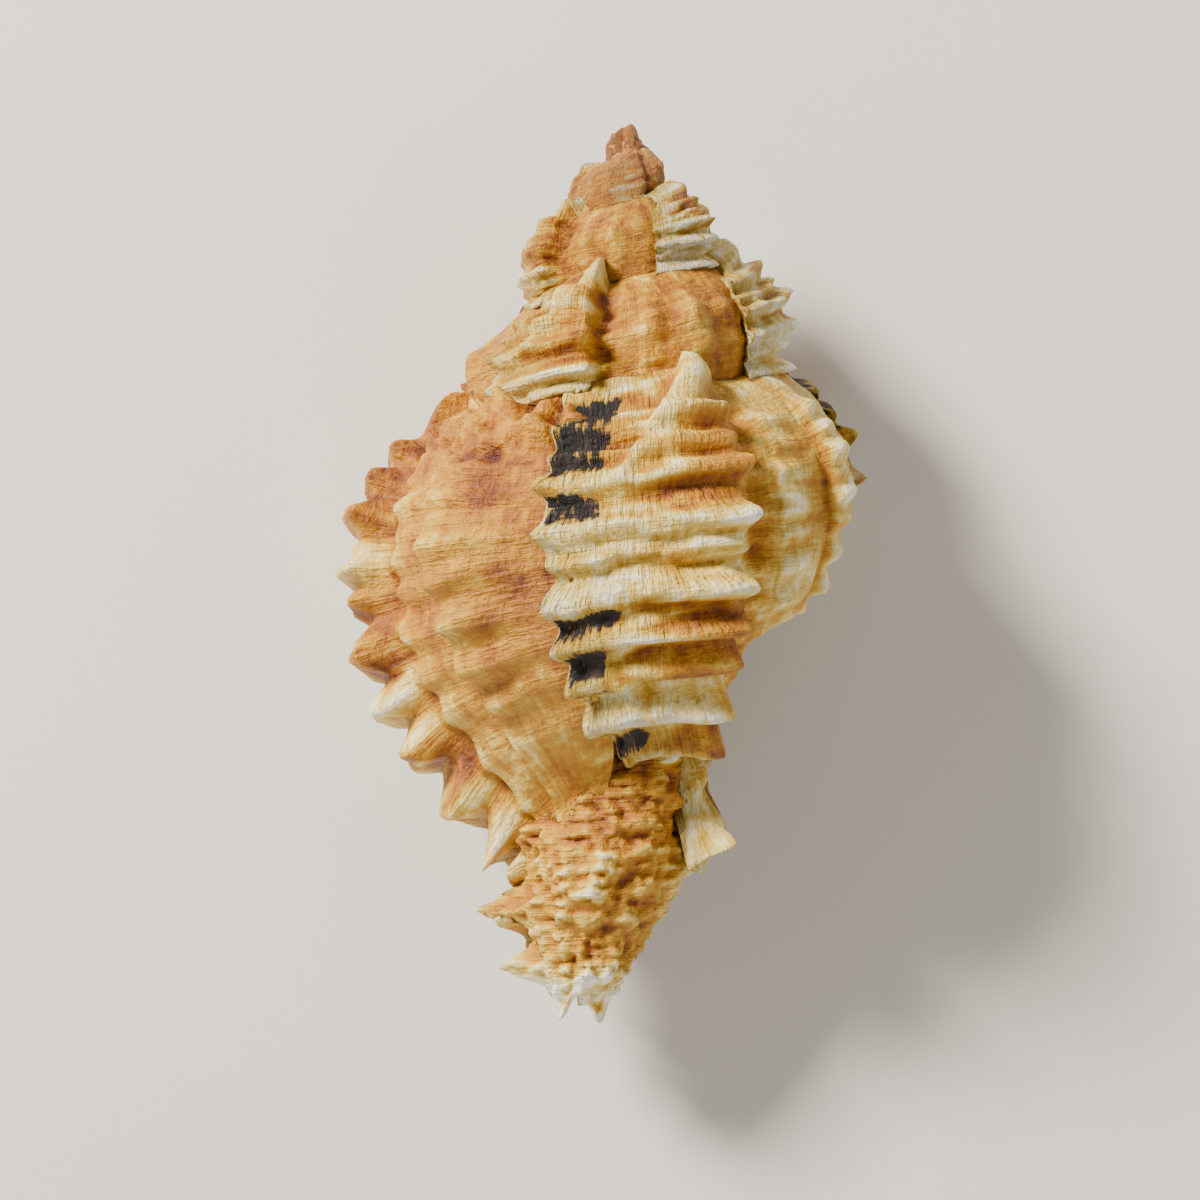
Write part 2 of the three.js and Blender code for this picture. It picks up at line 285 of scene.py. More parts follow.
def pigment(stage, along, behind, ridges, coarse, medium, folds):
    """The tone of the lime, with painted light and shade that follows the relief, and how black it
    is.
    """
    at_crest = crest_place(stage)
    forward = behind - lip_start(stage)
    across = along + 0.8 * coarse + 0.5 * medium
    if stage == 0:
        across = across + 1.5 + 5 * smooth(43, 50, along)
    light = within(46.3, 54.6, 0.4, across) + within(62.6, 66.8, 0.4, across)
    banded = within(33.2, 46.4, 0.4, across) + within(54.8, 62.4, 0.4, across)
    banded = banded + within(67.2, 71.5, 0.5, across)
    varix = smooth(at_crest + 11, at_crest + 4, behind)
    rust = banded * smooth(17, at_crest - 6, forward + 7 * coarse)
    rust = rust * (0.25 if stage in PALE_VARICES else 1)
    # Pale cords, dark grooves and fold troughs: partly own banding, partly painted light and shade.
    on_varix = 0.74 + 0.12 * (stage in (5, 8)) + 0.2 * light - 0.28 * rust + 0.14 * ridges ** 3
    on_varix = on_varix - (0.2 + 0.12 * banded) * (1 - ridges) ** 2 * smooth(10, 34, forward)
    on_varix = on_varix + (0.3 + 0.5 * banded) * folds * smooth(6, 20, forward)
    on_varix = np.maximum(on_varix, 0.26 + 0.1 * medium)
    between = TONES[min(stage, len(TONES) - 1)] + 0.22 * coarse + 0.14 * medium
    if stage == 0:
        between = between - 0.06 * smooth(45, 35, along) + 0.14 * smooth(50, 64, along)
        # Darker just in front of the lip of the stage before: painted shade under that lip.
        between = between - 0.1 * smooth(98, 108, behind) * smooth(68, 60, along)
    between = between + 0.3 * ridges * (fingers(behind, 80, 12) + fingers(behind, 60, 12))
    tone = on_varix * varix + between * (1 - varix)
    # Darker in the pits behind the crest: painted shade that follows the relief.
    tone = tone - 0.45 * bell(behind, at_crest + 10, 3) * (1 - ridges) * smooth(72, 66, along)
    shadow_line = bell(behind, 78.3, 1.3) * smooth(36, 41, along) * smooth(64, 58, along)
    tone = tone - 0.4 * shadow_line * (stage < 2)
    edge = smooth(2.2, 0.6, forward)
    tone = tone + (0.95 - tone) * edge
    tone = tone + (1.02 - tone) * smooth(71, 75, along) * (stage == 1)
    reach = 13.5 + 5 * coarse + 4 * medium + 2.5 * smooth(42, 36, along)
    black = banded * smooth(reach + 3, reach - 1, forward) * smooth(-0.4, 0.8, forward)
    black = black * (1 - ridges ** 2) * smooth(74, 71, along) * (1 if stage < 3 else 0.2)
    return tone, black


print("stages have", len(TONES), "tones, from", min(TONES), "to", max(TONES))

# %% [markdown]
# ## A place in the world
# The shell rolls and pitches by a few degrees from its own axes until three worn spots meet the
# table. The turn and the shift are those of the solid, so both models lie in the same place.

# %% Lay the shell down
REST_ROLL = 3.91
REST_PITCH = 4.13
REST_SHIFT = Vector((4.62, 43.67, 20.82))
MM = 0.001

lay_down = (Matrix.Scale(MM, 4) @ Matrix.Translation(REST_SHIFT)
            @ Matrix.Rotation(math.radians(REST_PITCH), 4, "X")
            @ Matrix.Rotation(math.radians(REST_ROLL), 4, "Y"))
print("rolled by", REST_ROLL, "and pitched by", REST_PITCH, "degrees")

# %% A place on the spiral
TIP_LOSS = 5.0        # how far above the worn tip the spiral starts
MID_LIFT = 4.0        # how much the last half turn climbs the spire
CANAL_LEAN = 6.0      # sideways reach of an end of the canal
OLD_CANAL_TURN = 38.0 # degrees that the canal of the stage before is turned aside
OLD_CANAL_REACH = 4.5 # and how much further down its neck reaches, in millimetres
TIP_SLIMMING = 0.25   # how much narrower the first whorls are
INNER_RADIUS = 1.2    # the buried inner edge of a stage


def on_spiral(stage, along, behind, height, inner):
    """Points of a stage in millimetres, in the shell's own axes."""
    angle = stage_lip(stage) + behind
    scale = growth(angle)
    lean = CANAL_LEAN * scale * smooth(60, 84, along)
    lean_angle = math.radians(stage_lip(stage) + LIP_AHEAD + OLD_CANAL_TURN * (stage == 1))
    slim = 1 - TIP_SLIMMING * (smooth(0.32, 0.13, scale) + smooth(0.21, 0.14, scale))
    climb = MID_LIFT * smooth(60, -80, angle) * smooth(78, 42, along)
    step = 0.05
    slope = (outline_radius(along + step) - outline_radius(along - step)) / (2 * step)
    lift = height / np.hypot(1, slope)
    out = np.where(inner, INNER_RADIUS * scale, scale * slim * (outline_radius(along) + lift))
    down = (along + TIP_LOSS - lift * slope) * scale - TIP_LOSS - climb
    if stage == 1:
        down = down + OLD_CANAL_REACH * smooth(66, 76, along) * smooth(85, 77, along)
    turn = np.radians(angle)
    return np.stack([out * np.sin(turn) + lean * math.sin(lean_angle), -down,
                     out * np.cos(turn) + lean * math.cos(lean_angle)], axis=1)


widest = on_spiral(0, np.array([47.0]), np.array([LIP_AHEAD]), np.zeros(1), np.array([False]))[0]
print("the last varix is widest at", [round(float(c), 1) for c in widest])

# %% [markdown]
# ## A closed tube to bend
# Each solid starts as a closed cylinder from one bmesh operator, cut into rings by a second. Its
# vertices are then moved: the place round the cylinder picks a place round the section, and the
# height picks a place along the sweep. The mesh stays closed, so solids can be joined.

# %% Swept solids
COORDINATES = ("along", "behind", "stage", "hollow", "tone", "black")


def swept_mesh(name, around, rows, place):
    """A closed mesh whose vertices place() puts, with its growth coordinates as attributes."""
    tube = bmesh.new()
    bmesh.ops.create_cone(tube, cap_ends=True, cap_tris=True, segments=around,
                          radius1=1, radius2=1, depth=1)
    upright = [e for e in tube.edges if abs(e.verts[0].co.z - e.verts[1].co.z) > 0.5]
    bmesh.ops.subdivide_edges(tube, edges=upright, cuts=rows - 1, use_grid_fill=True)
    mesh = bpy.data.meshes.new(name)
    tube.to_mesh(mesh)
    tube.free()
    flat = np.empty(len(mesh.vertices) * 3)
    mesh.vertices.foreach_get("co", flat)
    x, y, z = flat.reshape(-1, 3).T
    section = np.round(np.arctan2(x, y) / (2 * np.pi) * around).astype(int) % around
    row = np.round((0.5 - z) * rows).astype(int)
    hub = np.hypot(x, y) < 0.5
    points, facts = place(section, row, hub)
    mesh.vertices.foreach_set("co", points.reshape(-1))
    mesh.transform(lay_down)
    for key, values in zip(COORDINATES, facts):
        mesh.attributes.new(key, "FLOAT", "POINT").data.foreach_set("value", values)
    whole = bmesh.new()
    whole.from_mesh(mesh)
    bmesh.ops.recalc_face_normals(whole, faces=whole.faces)
    whole.to_mesh(mesh)
    whole.free()
    shape = bpy.data.objects.new(name, mesh)
    bpy.context.collection.objects.link(shape)
    return shape


print("each vertex carries", ", ".join(COORDINATES))

# %% [markdown]
# ## The stages
# A stage is a wedge of shell, about a third of a turn, that starts hidden inside the one before
# and ends in its own flared lip. Because each is a solid of its own, the lips overlap with a real
# step and a real shadow, which a single bumpy surface can't give.

# %% Grid of a stage
STAGES = 15         # built, from the last one back to the tip
STAGE_OVERLAP = 11.0  # how far a stage starts inside the one before it
FINEST = 0.435      # grid spacing in millimetres on the last stage
SECTION_LENGTH = 76 # length of the outline, which gives the number of columns
SWEEP_ROWS = 52     # the same for the number of rows
INNER_COLUMNS = 6   # columns down the buried edge
# How the lip is rounded off toward its middle: share of the way in, degrees behind the lip.
LIP_RINGS = ((0.02, 0.5), (0.05, 1.6), (0.1, 2.6), (0.2, 3.2), (0.4, 3.4), (0.7, 3.4))
LIP_CENTRE = (50.0, -13.0)   # where the lip is closed: along the outline, height


def sweep_places(start, end, count):
    """Degrees behind the lip for each row: closer together at the lip and on the crest."""
    degrees = np.linspace(start, end, 400)
    density = 1 + 1.2 * bell(degrees, start, 7) + 0.9 * bell(degrees, 52, 8)
    total = np.cumsum(density)
    return np.interp(np.linspace(total[0], total[-1], count), total, degrees)


def even_columns(count):
    """Places along the outline at equal steps of its length."""
    arc = np.linspace(OUTLINE[0, 0], OUTLINE[-1, 0], 600)
    steps = np.hypot(np.diff(arc), np.diff(outline_radius(arc)))
    length = np.concatenate([[0], np.cumsum(steps)])
    return np.interp(np.linspace(0, length[-1], count), length, arc)


print("the last stage has", int(SECTION_LENGTH * growth(stage_lip(0)) ** 0.85 / FINEST), "columns")


# %% One stage
def grain(points, size, seed):
    """Smooth noise from -1 to 1, with lumps of about size millimetres."""
    shift = Vector((seed * 17.3, seed * 5.7, seed * 11.9))
    return np.array([noise.noise(Vector(p) / size + shift) for p in points])


def stage_solid(stage):
    detail = growth(stage_lip(stage)) ** 0.85 / FINEST
    outer = max(int(SECTION_LENGTH * detail), 26)
    lip = lip_start(stage)
    buried = VARIX_STEP + lip_start(stage + 1) + STAGE_OVERLAP
    sweep = sweep_places(lip, buried, max(int(SWEEP_ROWS * detail), 16))
    insets = np.array([r[0] for r in reversed(LIP_RINGS)] + [0.0] * len(sweep))
    degrees = np.concatenate([[lip + r[1] for r in reversed(LIP_RINGS)], sweep])
    back = np.linspace(OUTLINE[-1, 0] - 6, OUTLINE[0, 0] + 4, INNER_COLUMNS)
    alongs = np.concatenate([even_columns(outer), back])

    def place(section, row, hub):
        along = alongs[section]
        behind = degrees[row]
        inner = section >= outer
        full = np.ones_like(along)
        base = on_spiral(stage, along, behind, 0 * full, inner)
        scale = growth(stage_lip(stage) + behind)[:, None]
        coarse = grain(base / scale, 6, 1 + stage)
        medium = grain(base / scale, 1.9, 31 + stage)
        along_cords = np.stack([along, behind * 0.09 + 0.8 * coarse, stage * full], axis=1)
        folds = grain(along_cords, 0.95, 51 + stage)
        height, ridges, crest, scallop, fin, ramp, notch = relief(
            stage, along, behind, coarse, medium, folds)
        tone, black = pigment(stage, along, behind, ridges, coarse, medium, folds)
        black = np.maximum(black, 1.3 * notch)
        tone = tone + (1.0 - tone) * fin * 0.9 + 0.9 * np.minimum(ramp, 0)
        shift = 5.2 * crest * ridges - scallop * bell(behind, lip, 9)
        points = on_spiral(stage, along, np.where(inner, behind, behind + shift),
                           np.where(inner, 0, height), inner)
        centre = on_spiral(stage, LIP_CENTRE[0] * full, behind, LIP_CENTRE[1] * full,
                           np.zeros_like(inner))
        inset = np.where(hub, 1.0, insets[row])[:, None]
        points = points * (1 - inset) + centre * inset
        return points, (along, behind, stage * full, 0 * full, tone, black)

    return swept_mesh(f"stage_{stage}", len(alongs), len(degrees) - 1, place)


stages = [stage_solid(s) for s in range(STAGES)]
print("built", len(stages), "stages of", sum(len(s.data.vertices) for s in stages), "vertices")

# %% [markdown]
# ## Canal, tip and hollow
# Below the body whorl the shell draws out into a bent tube that carried the snail's siphon. It is
# a column with scales that stand open toward its end. The spire ends in a small worn dome. The
# hollow is an oval tunnel that follows the coil in from the lip and closes out of sight.

# %% Canal
LENGTH = 88.0         # of the shell along its axis
CANAL_FROM = 22.0     # how deep in the shell the column starts
CANAL_LEFT = 8.9      # how far it would lean if it went on
CANAL_RAISED = 0.6
CANAL_RADIUS = 7.9
SCALE_STEP = 1.5      # from one row of scales to the next
# Distance from the tip, degrees about the canal with 0 upwards, reach.
CANAL_SPINES = ((70, -88, 2.0), (77.8, -94, 4.4), (83.6, -98, 3.0))


def canal_centre(down):
    return -CANAL_LEFT * smooth(44, 96, down), CANAL_RAISED


def canal_radius(down):
    taper = CANAL_RADIUS - 3.6 * smooth(73, 86, down) - 1.9 * smooth(84, 88, down)
    return taper * smooth(CANAL_FROM - 12, 60, down)


def canal_solid():
    around, rows = 150, 210

    def place(section, row, hub):
        down = CANAL_FROM + (LENGTH - CANAL_FROM) * row / rows
        angle = 2 * np.pi * section / around
        degrees = np.degrees(np.angle(np.exp(1j * angle)))
        prongs = 1.3 * bell(degrees, -72, 20) + 1.6 * bell(degrees, 50, 30)
        prongs = prongs - 1.6 * bell(degrees, -15, 28)
        down = down + prongs * smooth(80, 88, down)
        radius = canal_radius(np.minimum(down, LENGTH))
        x, z = canal_centre(down)
        base = np.stack([x + radius * np.sin(angle), -down, z + radius * np.cos(angle)], axis=1)
        coarse, medium, small = grain(base, 5, 61), grain(base, 1.7, 62), grain(base, 0.8, 63)
        scale_row = ((down + 3.4 * np.cos(angle) + 1.2 * coarse + 0.6 * medium) / SCALE_STEP) % 1
        cords = np.cos(angle * 12 + 1.5 * coarse)
        rough = smooth(56, 66, down) * smooth(90, 84, down)
        swell = 0.45 * scale_row ** 2 + 0.28 * cords * scale_row + 0.75 * medium + 0.6 * coarse
        swell = swell + 0.5 * small
        for at, facing, reach in CANAL_SPINES:
            gap = np.degrees(np.angle(np.exp(1j * (angle - np.radians(facing)))))
            saw = 1 + 0.35 * small + 0.4 * medium
            swell = swell + reach * saw * bell(down, at, 1.5) * bell(gap, 0, 26)
        radius = np.where(hub, 0, radius + rough * swell)
        points = np.stack([x + radius * np.sin(angle), -down, z + radius * np.cos(angle)], axis=1)
        full = np.ones_like(down)
        # Paler on the raised scale rows and cords, darker in the troughs between: painted shade.
        tone = 0.48 + 0.18 * scale_row + 0.12 * cords * scale_row + 0.25 * coarse + 0.3 * medium
        tone = tone + 0.6 * smooth(82, 86, down) - 0.2 * smooth(74, 66, down) + 0.4 * small
        return points, (down, 64 + 8 * coarse, -full, 0 * full, tone, 0 * full)

    return swept_mesh("canal", around, rows, place)


canal = canal_solid()
print("the canal is", round(2 * float(canal_radius(75.0)), 1), "mm thick")

# %% Tip
TIP_RADIUS, TIP_STRETCH, TIP_DOWN = 1.9, 1.4, 2.55
TIP_RING = 0.85       # from one ring of the tip to the next


def plain_solid(name, body, facts):
    """An object from a bmesh in the shell's own axes, with the same facts at every vertex."""
    mesh = bpy.data.meshes.new(name)
    body.to_mesh(mesh)
    body.free()
    mesh.transform(lay_down)
    for key, value in zip(COORDINATES, facts):
        values = np.full(len(mesh.vertices), value)
        mesh.attributes.new(key, "FLOAT", "POINT").data.foreach_set("value", values)
    shape = bpy.data.objects.new(name, mesh)
    bpy.context.collection.objects.link(shape)
    return shape


def tip_solid():
    dome = bmesh.new()
    bmesh.ops.create_uvsphere(dome, u_segments=36, v_segments=30, radius=TIP_RADIUS)
    bmesh.ops.rotate(dome, verts=dome.verts, matrix=Matrix.Rotation(math.radians(90), 3, "X"))
    for vertex in dome.verts:
        ring = math.cos(2 * math.pi * (vertex.co.y - 0.1 * vertex.co.x) / TIP_RING)
        vertex.co += vertex.normal * (0.09 * ring + 0.15 * noise.noise(vertex.co * 1.4))
        vertex.co.y = vertex.co.y * TIP_STRETCH - TIP_DOWN
    return plain_solid("tip", dome, (42.0, 80.0, STAGES, 0.0, 0.3, 0.0))


tip = tip_solid()
print("the tip is", 2 * TIP_RADIUS, "mm wide")

# %% Hollow
HOLLOW_MOUTH, HOLLOW_DEEP = -46.0, 205.0     # degrees behind the last lip
HOLLOW_RADIUS, HOLLOW_ALONG = 17.6, 49.5      # where its middle runs
HOLLOW_HALF_WIDTH, HOLLOW_HALF_LENGTH = 6.9, 12.3
INWARD_BEND = 5.5     # how far its lower end turns toward the canal
GLAZED = 1.1          # tone of the glaze, paler than any lime outside


def hollow_solid():
    around, rows = 120, 110

    def place(section, row, hub):
        behind = HOLLOW_MOUTH + (HOLLOW_DEEP - HOLLOW_MOUTH) * row / rows
        angle = stage_lip(0) + behind
        scale = growth(angle)
        flare = smooth(10, HOLLOW_MOUTH, behind)
        closing = np.sqrt(np.maximum(1 - smooth(60, HOLLOW_DEEP + 12, behind), 0.02))
        turn = 2 * np.pi * section / around
        reach = np.where(hub, 0, scale * closing)
        inward = reach * INWARD_BEND * smooth(-0.1, -1, np.cos(turn))
        outer_wall = smooth(0.2, 0.9, np.sin(turn))
        teeth = 0.45 * np.cos(turn * 22) * outer_wall * bell(behind, 3, 14)
        radius = scale * (HOLLOW_RADIUS + 3.2 * flare)
        climb = MID_LIFT * smooth(60, -80, angle) * 0.7
        down = (HOLLOW_ALONG + TIP_LOSS) * scale - TIP_LOSS - climb
        out = radius - inward + reach * (HOLLOW_HALF_WIDTH + 2 * flare - teeth) * np.sin(turn)
        y = -down + reach * (HOLLOW_HALF_LENGTH + 2 * flare) * np.cos(turn)
        about = np.radians(angle)
        full = np.ones_like(behind)
        return np.stack([out * np.sin(about), y, out * np.cos(about)], axis=1), (
            50 * full, behind, 0 * full, full, GLAZED * full, 0 * full)

    return swept_mesh("hollow", around, rows, place)


hollow = hollow_solid()
print("the hollow is", 2 * HOLLOW_HALF_WIDTH, "by", 2 * HOLLOW_HALF_LENGTH, "mm at the last varix")

# %% Slit and open end of the canal
SLIT_FROM, SLIT_FACING, SLIT_WIDTH, SLIT_DEPTH = 58.0, -147.0, 1.6, 4.5
BORE_RADIUS, BORE_DOWN = 1.7, 89.6


def slit_solid():
    around, rows = 12, 60
    sin, cos = math.sin(math.radians(SLIT_FACING)), math.cos(math.radians(SLIT_FACING))

    def place(section, row, hub):
        down = SLIT_FROM + (LENGTH + 2 - SLIT_FROM) * row / rows
        skin = canal_radius(np.minimum(down, LENGTH))
        x, z = canal_centre(down)
        turn = 2 * np.pi * section / around
        side = np.where(hub, 0, SLIT_WIDTH / 2 * np.sin(turn))
        out = skin + np.where(hub, 0, np.where(np.cos(turn) > 0, 4, SLIT_DEPTH) * np.cos(turn))
        full = np.ones_like(down)
        return np.stack([x + out * sin + side * cos, -down, z + out * cos - side * sin], axis=1), (
            down, 40 * full, -full, full, GLAZED * full, 0 * full)

    return swept_mesh("slit", around, rows, place)


def bore_solid():
    """The open end of the canal."""
    bore = bmesh.new()
    bmesh.ops.create_uvsphere(bore, u_segments=24, v_segments=16, radius=BORE_RADIUS)
    bmesh.ops.scale(bore, verts=bore.verts, vec=(0.95, 2.8, 0.85))
    bmesh.ops.translate(bore, verts=bore.verts, vec=(canal_centre(89.0)[0], -BORE_DOWN, 0.9))
    return plain_solid("bore", bore, (88.0, 40.0, -1.0, 1.0, 1.2, 0.0))


slit, bore = slit_solid(), bore_solid()
print("the slit is", SLIT_WIDTH, "mm wide")

# %% [markdown]
# ## Joining
# The Boolean modifier unites the solids one after the other and cuts the hollow out. Overlaps
# deep inside leave sealed bubbles, which are dropped by keeping the largest connected surface.

# %% Helpers for joining
def cut_or_join(target, operand, operation):
    joint = target.modifiers.new(operand.name, "BOOLEAN")
    joint.operation = operation
    joint.solver = "MANIFOLD"
    joint.object = operand


def keep_largest(mesh):
    """Deletes every connected surface but the largest."""
    body = bmesh.new()
    body.from_mesh(mesh)
    body.verts.ensure_lookup_table()
    seen = bytearray(len(body.verts))
    parts = []
    for start in body.verts:
        if seen[start.index]:
            continue
        seen[start.index] = 1
        part, front = [start], [start]
        while front:
            vertex = front.pop()
            for edge in vertex.link_edges:
                other = edge.other_vert(vertex)
                if not seen[other.index]:
                    seen[other.index] = 1
                    part.append(other)
                    front.append(other)
        parts.append(part)
    parts.sort(key=len)
    bmesh.ops.delete(body, geom=[v for part in parts[:-1] for v in part], context="VERTS")
    body.to_mesh(mesh)
    body.free()


def evaluated_copy(shape):
    """The mesh that a shape has once its modifiers are worked out."""
    graph = bpy.context.evaluated_depsgraph_get()
    return bpy.data.meshes.new_from_object(shape.evaluated_get(graph))


# %% Ground
GROUND = 0.3          # side in metres of the block below the table level


def ground_solid():
    """Cuts off what is worn away where the shell touches the table."""
    slab = bmesh.new()
    bmesh.ops.create_cube(slab, size=GROUND)
    bmesh.ops.translate(slab, verts=slab.verts, vec=(0, 0, -GROUND / 2))
    mesh = bpy.data.meshes.new("ground")
    slab.to_mesh(mesh)
    slab.free()
    shape = bpy.data.objects.new("ground", mesh)
    bpy.context.collection.objects.link(shape)
    return shape


ground = ground_solid()
print("the block under the table level is", GROUND, "m thick")

# %% Union
solids = [canal, tip] + stages
for solid in solids[1:]:
    cut_or_join(solids[0], solid, "UNION")
united = evaluated_copy(solids[0])
keep_largest(united)
rough_shell = bpy.data.objects.new("rough_shell", united)
bpy.context.collection.objects.link(rough_shell)
for cutter in (hollow, slit, bore, ground):
    cut_or_join(rough_shell, cutter, "DIFFERENCE")
shell_mesh = evaluated_copy(rough_shell)
keep_largest(shell_mesh)
print("joined into", len(shell_mesh.vertices), "vertices")

# %% [markdown]
# ## What each place on the surface knows
# The boolean makes new vertices, so each one takes its growth coordinates, tone and blackness from
# the nearest vertex of the solids. Beside the mouth the snail also coats the whorl with a smooth
# callus, so the places near the hollow get the glaze of the inside.

# %% Growth coordinates
def take_coordinates(mesh, sources):
    """Copies the growth coordinates of the nearest source vertex to each vertex."""
    places, facts = [], []
    for source in sources:
        count = len(source.data.vertices)
        co = np.empty(count * 3)
        source.data.vertices.foreach_get("co", co)
        places.append(co.reshape(-1, 3))
        columns = []
        for key in COORDINATES:
            values = np.empty(count)
            source.data.attributes[key].data.foreach_get("value", values)
            columns.append(values)
        facts.append(np.stack(columns, axis=1))
    places, facts = np.concatenate(places), np.concatenate(facts)
    tree = KDTree(len(places))
    for index, place in enumerate(places):
        tree.insert(place, index)
    tree.balance()
    nearest = np.array([tree.find(v.co)[1] for v in mesh.vertices])
    for column, key in enumerate(COORDINATES):
        if key in mesh.attributes:
            mesh.attributes.remove(mesh.attributes[key])
        mesh.attributes.new(key, "FLOAT", "POINT").data.foreach_set("value", facts[nearest, column])


take_coordinates(shell_mesh, solids + [hollow, slit, bore])
print("the shell knows", [key for key in COORDINATES if key in shell_mesh.attributes])

# %% Callus
CALLUS_BELOW = 0.03   # metres above the table: the hollow beyond this is deep inside
CALLUS_REACH = 5.5    # millimetres round the mouth
COATED_FROM = 3       # the first stage that the mouth lies against


def glaze_callus(mesh, hollow_mesh, reach):
    """The wall beside the mouth, away from the outer lip, is coated with the smooth inner glaze."""
    mouth = [v.co for v in hollow_mesh.vertices if v.co.z < CALLUS_BELOW]
    tree = KDTree(len(mouth))
    for index, place in enumerate(mouth):
        tree.insert(place, index)
    tree.balance()
    count = len(mesh.vertices)
    values = {}
    for key in ("stage", "hollow", "tone", "black"):
        values[key] = np.empty(count)
        mesh.attributes[key].data.foreach_get("value", values[key])
    away = np.array([tree.find(v.co)[2] for v in mesh.vertices])
    coat = smooth(reach, reach * 0.6, away) * (values["stage"] >= COATED_FROM)
    values["tone"] += (1.05 - values["tone"]) * coat
    values["black"] *= 1 - coat
    values["hollow"] = np.maximum(values["hollow"], 0.85 * coat)
    for key in ("hollow", "tone", "black"):
        mesh.attributes[key].data.foreach_set("value", values[key])


glaze_callus(shell_mesh, hollow.data, CALLUS_REACH * MM)
print("the callus reaches", CALLUS_REACH, "mm from the mouth")

# %% The finished shell
for spare in solids + [hollow, slit, bore, ground, rough_shell]:
    bpy.data.objects.remove(spare)
shell_mesh.polygons.foreach_set("use_smooth", [True] * len(shell_mesh.polygons))
shell = bpy.data.objects.new("murex_shell", shell_mesh)
bpy.context.collection.objects.link(shell)
triangles = sum(len(p.vertices) - 2 for p in shell_mesh.polygons)
print("the shell has", triangles, "triangles")

# %% [markdown]
# ## Weathered lime
# The shell is calcium carbonate, laid down in crystals and then worn by sand. Outside it is matt,
# with a rough grain that scatters the light; inside the mouth it is glazed like porcelain, which
# gives a sharper highlight. The colour comes from the tone that each place already has, broken up
# by noise that is drawn out along the cords and along the lip, since the pigment was laid down so.

# %% Nodes
def linear(colour):
    """An sRGB hex colour as the linear RGBA that shaders use."""
    parts = [int(colour[i:i + 2], 16) / 255 for i in (1, 3, 5)]
    return (*(c / 12.92 if c <= 0.04045 else ((c + 0.055) / 1.055) ** 2.4 for c in parts), 1)


def add_node(tree, kind, settings=None, links=None):
    """Adds a node, sets its properties and sockets, and links sockets to other nodes' outputs."""
    node = tree.nodes.new(kind)
    for key, value in (settings or {}).items():
        if isinstance(key, str) and hasattr(node, key):
            setattr(node, key, value)
        else:
            node.inputs[key].default_value = value
    for key, output in (links or {}).items():
        tree.links.new(output, node.inputs[key])
    return node


print("mid grey is", round(linear("#808080")[0], 3), "in linear light")

# %% The colours of the lime
# Real oranges and creams of this shell, a little yellower and deeper than they look in daylight.
TONE_STOPS = [
    (0.0, "#4A1E0A"), (0.16, "#743806"), (0.32, "#9E5E04"), (0.46, "#B67A08"), (0.6, "#C6941E"),
    (0.74, "#DCBC58"), (0.86, "#EAD892"), (1.0, "#F7F1DC")]
# The black patches are not even: they fade to brown where the layer is thin.
SOOT_STOPS = [(0.35, "#08070A"), (0.5, "#1E1415"), (0.63, "#4C352A")]
GLAZE = "#F0E3CC"
ROSY_TIP = "#B5714A"
MATT, GLAZED_ROUGHNESS = 0.56, 0.22
BUMP_DEPTH = 1.6 * MM  # coarser than the real grain, so that it still shows from arm's length
print("the lime has", len(TONE_STOPS), "colours, the soot", len(SOOT_STOPS))

# %% Material
lime = bpy.data.materials.new("weathered_shell_lime")
lime.use_nodes = True
tree = lime.node_tree
principled = tree.nodes["Principled BSDF"]


def read(name):
    return add_node(tree, "ShaderNodeAttribute", {"attribute_name": name}).outputs["Fac"]


def stops(node, colours):
    """Sets the stops of a colour ramp: position and hex colour, or position and grey value."""
    ramp = node.color_ramp
    while len(ramp.elements) < len(colours):
        ramp.elements.new(0.5)
    for element, (position, colour) in zip(ramp.elements, colours):
        element.position = position
        element.color = linear(colour) if isinstance(colour, str) else (colour, colour, colour, 1)
    return node.outputs["Color"]


along, behind, stage = read("along"), read("behind"), read("stage")
hollow_share, tone, black = read("hollow"), read("tone"), read("black")
object_place = add_node(tree, "ShaderNodeTexCoord").outputs["Object"]
print(lime.name, "reads", ", ".join(COORDINATES))

# %% Patterns
# Growth coordinates in millimetres: across the cords, along the cords, and one set per stage.
MM_PER_DEGREE = 0.47  # along a cord, at the widest place of the last stage
STAGES_APART = 37.0   # so that no two stages share a pattern
across_growth = add_node(tree, "ShaderNodeMath", {"operation": "MULTIPLY", 1: MM_PER_DEGREE},
                         {0: behind})
own = add_node(tree, "ShaderNodeMath", {"operation": "MULTIPLY", 1: STAGES_APART}, {0: stage})
grown = add_node(tree, "ShaderNodeCombineXYZ", {}, {
    "X": along, "Y": across_growth.outputs[0], "Z": own.outputs[0]}).outputs[0]


def stretched(factors, size, detail):
    """Noise with lumps of so many millimetres, drawn out along the cords or along the lip."""
    drawn_out = add_node(tree, "ShaderNodeVectorMath", {"operation": "MULTIPLY", 1: factors},
                         {0: grown})
    settings = {"Scale": 1 / size, "Detail": detail, "Roughness": 0.62}
    return add_node(tree, "ShaderNodeTexNoise", settings,
                    {"Vector": drawn_out.outputs[0]}).outputs["Fac"]


mottle = stretched((1, 1, 1), 3.2, 6)
cord_streaks = stretched((1, 0.2, 1), 1.2, 5)
growth_streaks = stretched((0.12, 1, 1), 0.9, 5)
lines = stretched((0.22, 1, 1), 0.45, 3)
SPECKLE_SIZE = 0.9 * MM
speckle = add_node(tree, "ShaderNodeTexNoise",
                   {"Scale": 1 / SPECKLE_SIZE, "Detail": 4, "Roughness": 0.6},
                   {"Vector": object_place}).outputs["Fac"]


